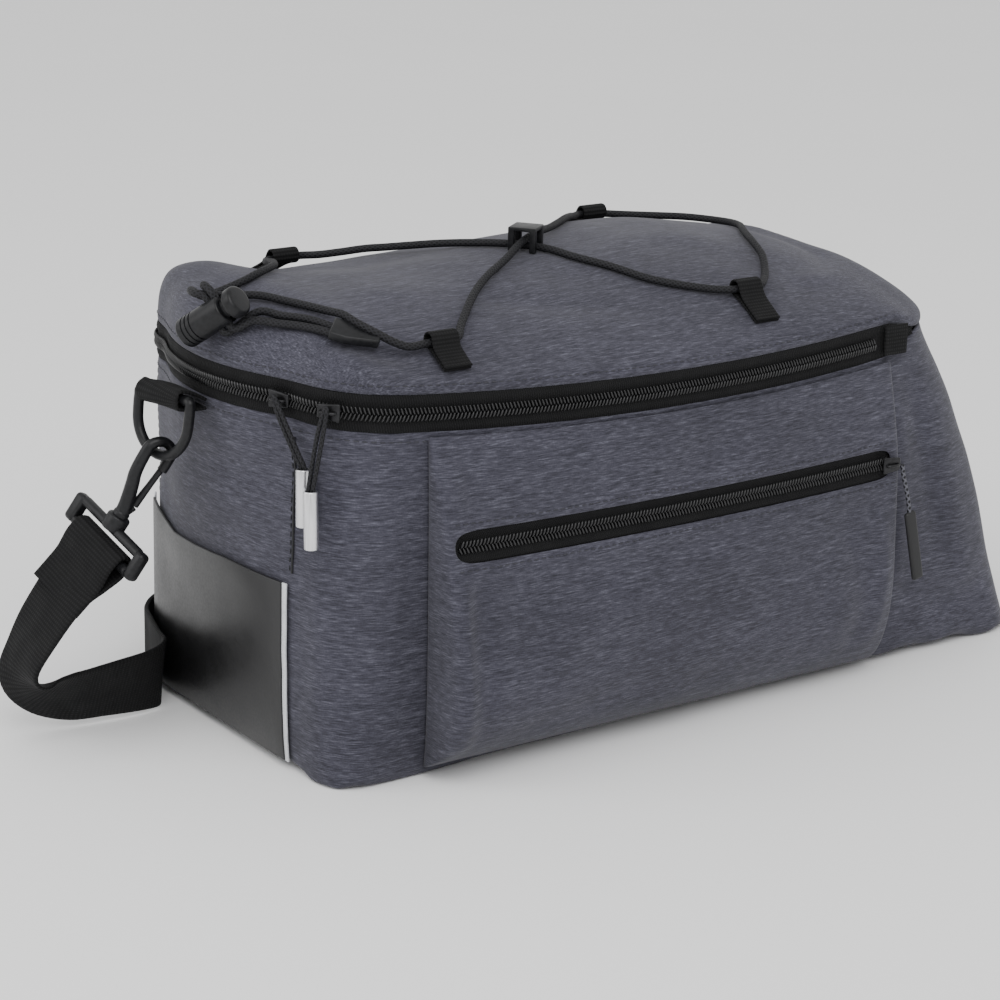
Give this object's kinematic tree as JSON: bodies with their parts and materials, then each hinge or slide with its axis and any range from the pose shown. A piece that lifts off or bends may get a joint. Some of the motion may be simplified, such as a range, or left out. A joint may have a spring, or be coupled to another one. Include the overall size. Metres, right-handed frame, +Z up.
{
  "type": "bicycle rack bag",
  "caption": "Soft box bag for a bicycle rack, with a domed zip lid, side pockets, a stretch cord with a lock on top, a smooth end panel and a shoulder strap.",
  "frame": {"origin": "centre of the flat base, on the ground", "axes": "+Z up, -X towards the end with the dark panel, +X towards the slanted end, -Y towards the near side of the picture"},
  "size_m": [0.4733, 0.2275, 0.1993],
  "materials": {
    "grey_blue_cloth": "melange weave",
    "black_webbing": "ribbed",
    "black_coil": "satin",
    "dark_metal": "satin",
    "aluminium": "brushed",
    "smooth_black_panel": "satin",
    "silver_reflective": "reflective",
    "dark_rubber": "matt",
    "black_cord": "woven",
    "dark_plastic": "satin"
  },
  "bodies": {
    "bag": {"body_shell": "grey_blue_cloth", "bungee_cord": "black_cord", "cord_clip": "dark_plastic", "cord_end_wedge": "dark_plastic", "cord_lock_barrel": "dark_plastic", "end_panel": "smooth_black_panel", "far_left_cord_loop": "black_webbing", "far_pocket": "grey_blue_cloth", "far_pocket_pull_cord": "black_webbing", "far_pocket_pull_tag": "dark_rubber", "far_pocket_slider": "dark_metal", "far_pocket_zip_tape": "black_webbing", "far_pocket_zip_teeth": "black_coil", "far_reflective_strip": "silver_reflective", "far_right_cord_loop": "black_webbing", "far_zip_end_tab": "black_webbing", "left_d_ring": "dark_plastic", "left_pull_cord": "black_webbing", "left_pull_tube": "aluminium", "left_ring_tab": "black_webbing", "left_slider": "dark_metal", "left_snap_hook": "dark_plastic", "lid_shell": "grey_blue_cloth", "main_zip_tape": "black_webbing", "main_zip_teeth": "black_coil", "near_left_cord_loop": "black_webbing", "near_pocket": "grey_blue_cloth", "near_pocket_pull_cord": "black_webbing", "near_pocket_pull_tag": "dark_rubber", "near_pocket_slider": "dark_metal", "near_pocket_zip_tape": "black_webbing", "near_pocket_zip_teeth": "black_coil", "near_reflective_strip": "silver_reflective", "near_right_cord_loop": "black_webbing", "near_zip_end_tab": "black_webbing", "right_d_ring": "dark_plastic", "right_pull_cord": "black_webbing", "right_pull_tube": "aluminium", "right_ring_tab": "black_webbing", "right_slider": "dark_metal", "right_snap_hook": "dark_plastic", "shoulder_strap": "black_webbing"},
    "left_gate": {"left_hook_gate": "dark_plastic"},
    "right_gate": {"right_hook_gate": "dark_plastic"},
    "lock_button": {"cord_lock_button": "dark_plastic"}
  },
  "joints": [
    {"name": "left_gate_hinge", "type": "hinge", "parent": "bag", "child": "left_gate", "pos_m": [-0.22091, 0.01304, 0.09823], "axis": [-0.21, -0.9629, -0.1692], "range_deg": [0, 18], "stiffness_Nm_per_rad": 0.01, "springref_deg": -8.59},
    {"name": "right_gate_hinge", "type": "hinge", "parent": "bag", "child": "right_gate", "pos_m": [0.18266, -0.00421, 0.0936], "axis": [-0.0133, -0.9999, -0.008], "range_deg": [0, 18], "stiffness_Nm_per_rad": 0.01, "springref_deg": -8.59},
    {"name": "lock_button_slide", "type": "slide", "parent": "bag", "child": "lock_button", "axis": [-0.3887, 0.7334, -0.5577], "range_m": [0, 0.0018], "stiffness_N_per_m": 400, "springref_m": -0.002}
  ]
}
